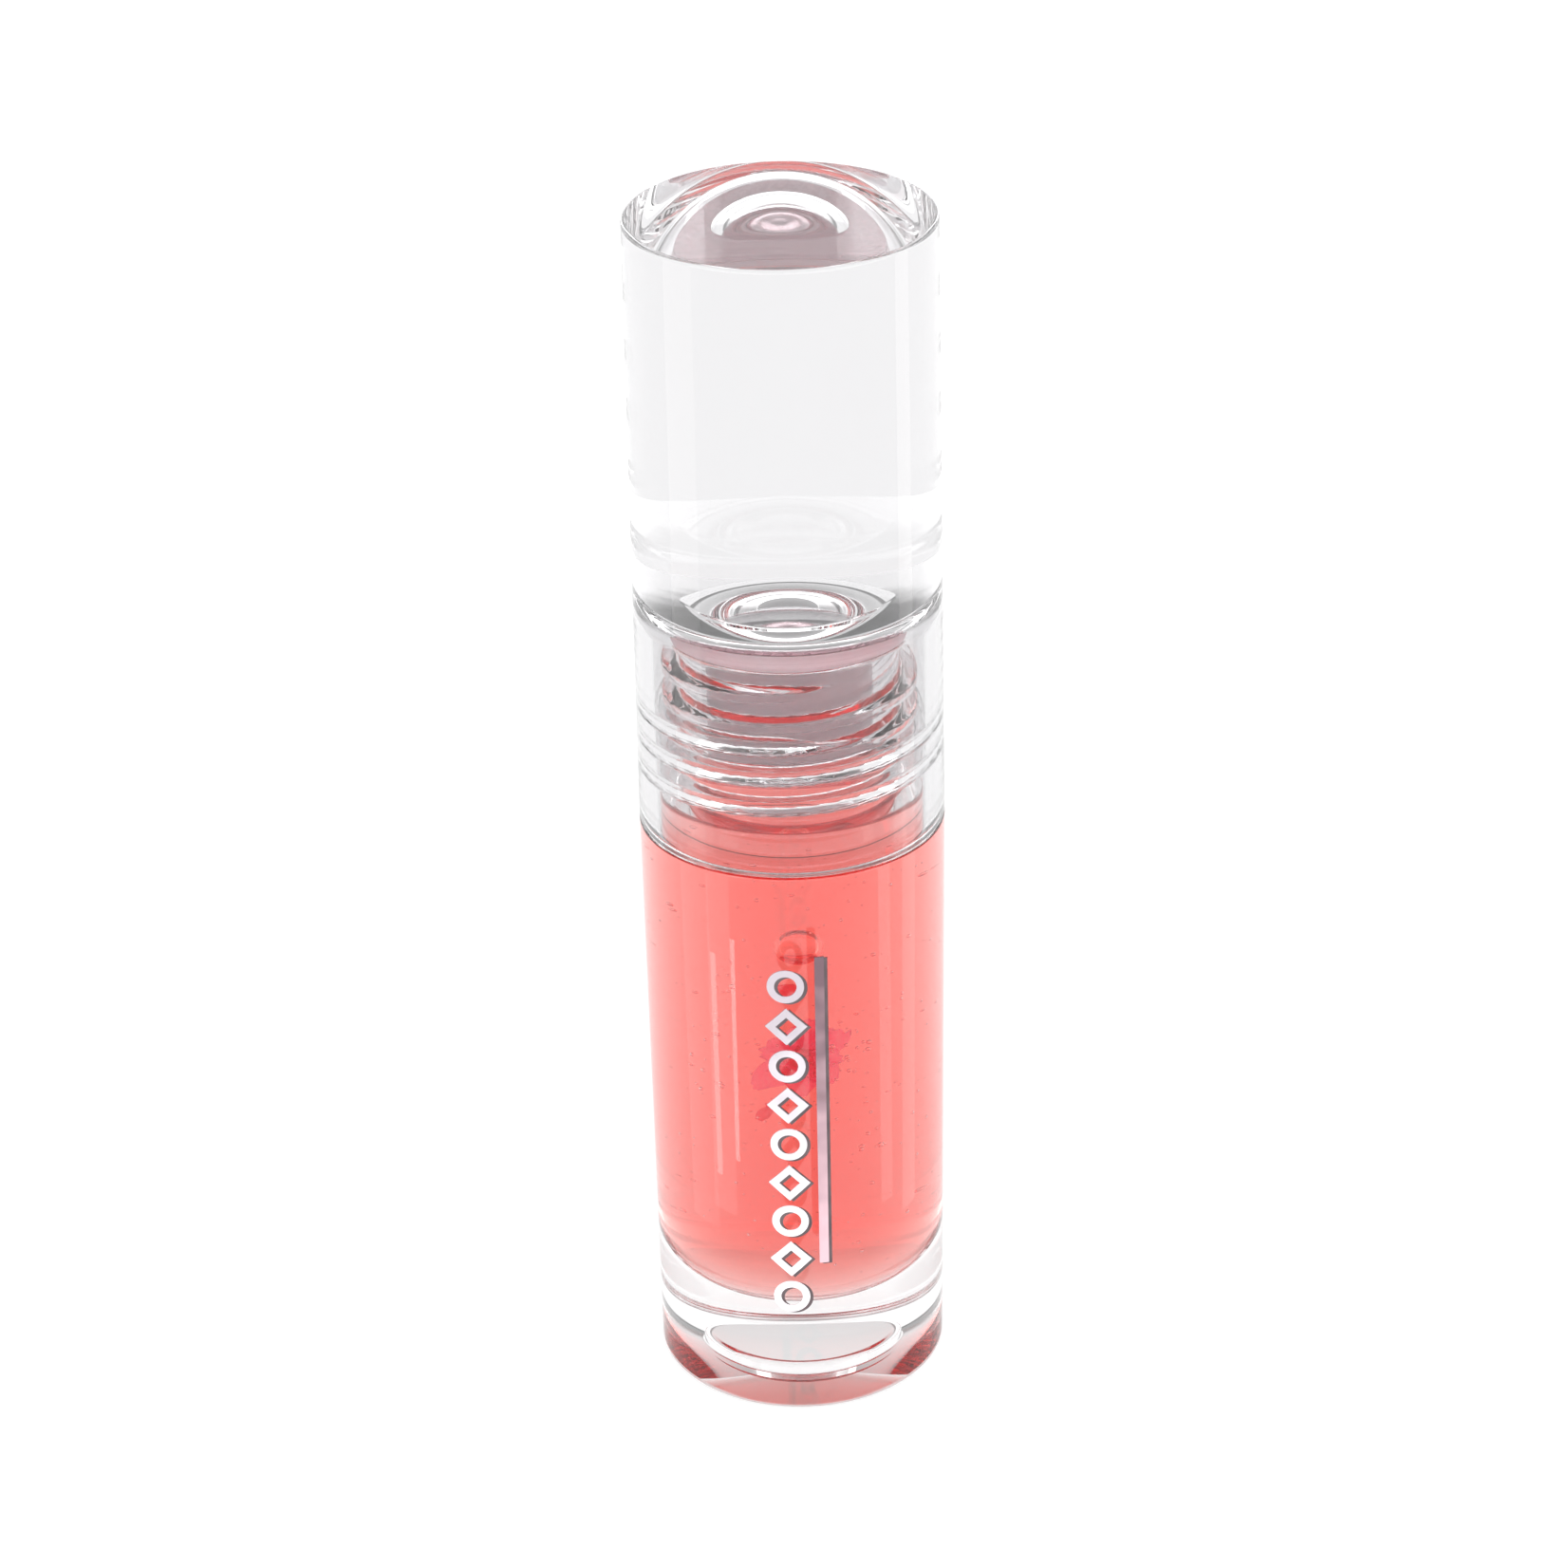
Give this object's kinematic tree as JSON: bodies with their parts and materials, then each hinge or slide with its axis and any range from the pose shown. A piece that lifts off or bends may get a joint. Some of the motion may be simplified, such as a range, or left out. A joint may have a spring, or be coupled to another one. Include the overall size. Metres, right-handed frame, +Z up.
{
  "type": "roll-on lip gloss tube",
  "caption": "Clear cylindrical roll-on lip gloss bottle with a rolling ball under a solid clear screw cap.",
  "frame": {"origin": "centre of the base, on the surface the tube stands on", "axes": "+Z up along the tube's axis to the top of the cap, -Y the decorated front"},
  "size_m": [0.0206, 0.0207, 0.085],
  "materials": {
    "clear_bottle": "polished clear",
    "clear_cap": "polished clear",
    "milky_plug": "milky translucent",
    "steel_ball": "polished",
    "silicone": "satin translucent",
    "coral_gloss": "clear coral liquid",
    "dried_petal": "dry",
    "silver_foil": "satin foil"
  },
  "bodies": {
    "bottle": {"bottle_body": "clear_bottle", "gloss_fill": "coral_gloss", "dried_flower": "dried_petal", "loose_petals": "dried_petal", "foil_print": "silver_foil", "roller_housing": "milky_plug"},
    "ball": {"roller_ball": "steel_ball"},
    "seal": {"sealing_ring": "silicone"},
    "cap": {"cap_shell": "clear_cap"}
  },
  "joints": [
    {"name": "ball_roll", "type": "hinge", "parent": "bottle", "child": "ball", "pos_m": [0, 0, 0.05575], "axis": [1, 0, 0], "continuous": true},
    {"name": "cap_lift", "type": "slide", "parent": "bottle", "child": "seal", "axis": [0, 0, 1], "range_m": [0, 0.0177]},
    {"name": "cap_turn", "type": "hinge", "parent": "seal", "child": "cap", "pos_m": [0, 0, 0.0425], "axis": [0, 0, 1], "range_deg": [0, 2880]}
  ],
  "couplings": [
    {"joint": "cap_lift", "follows": "cap_turn", "m_per_rad": 0.00035014}
  ]
}
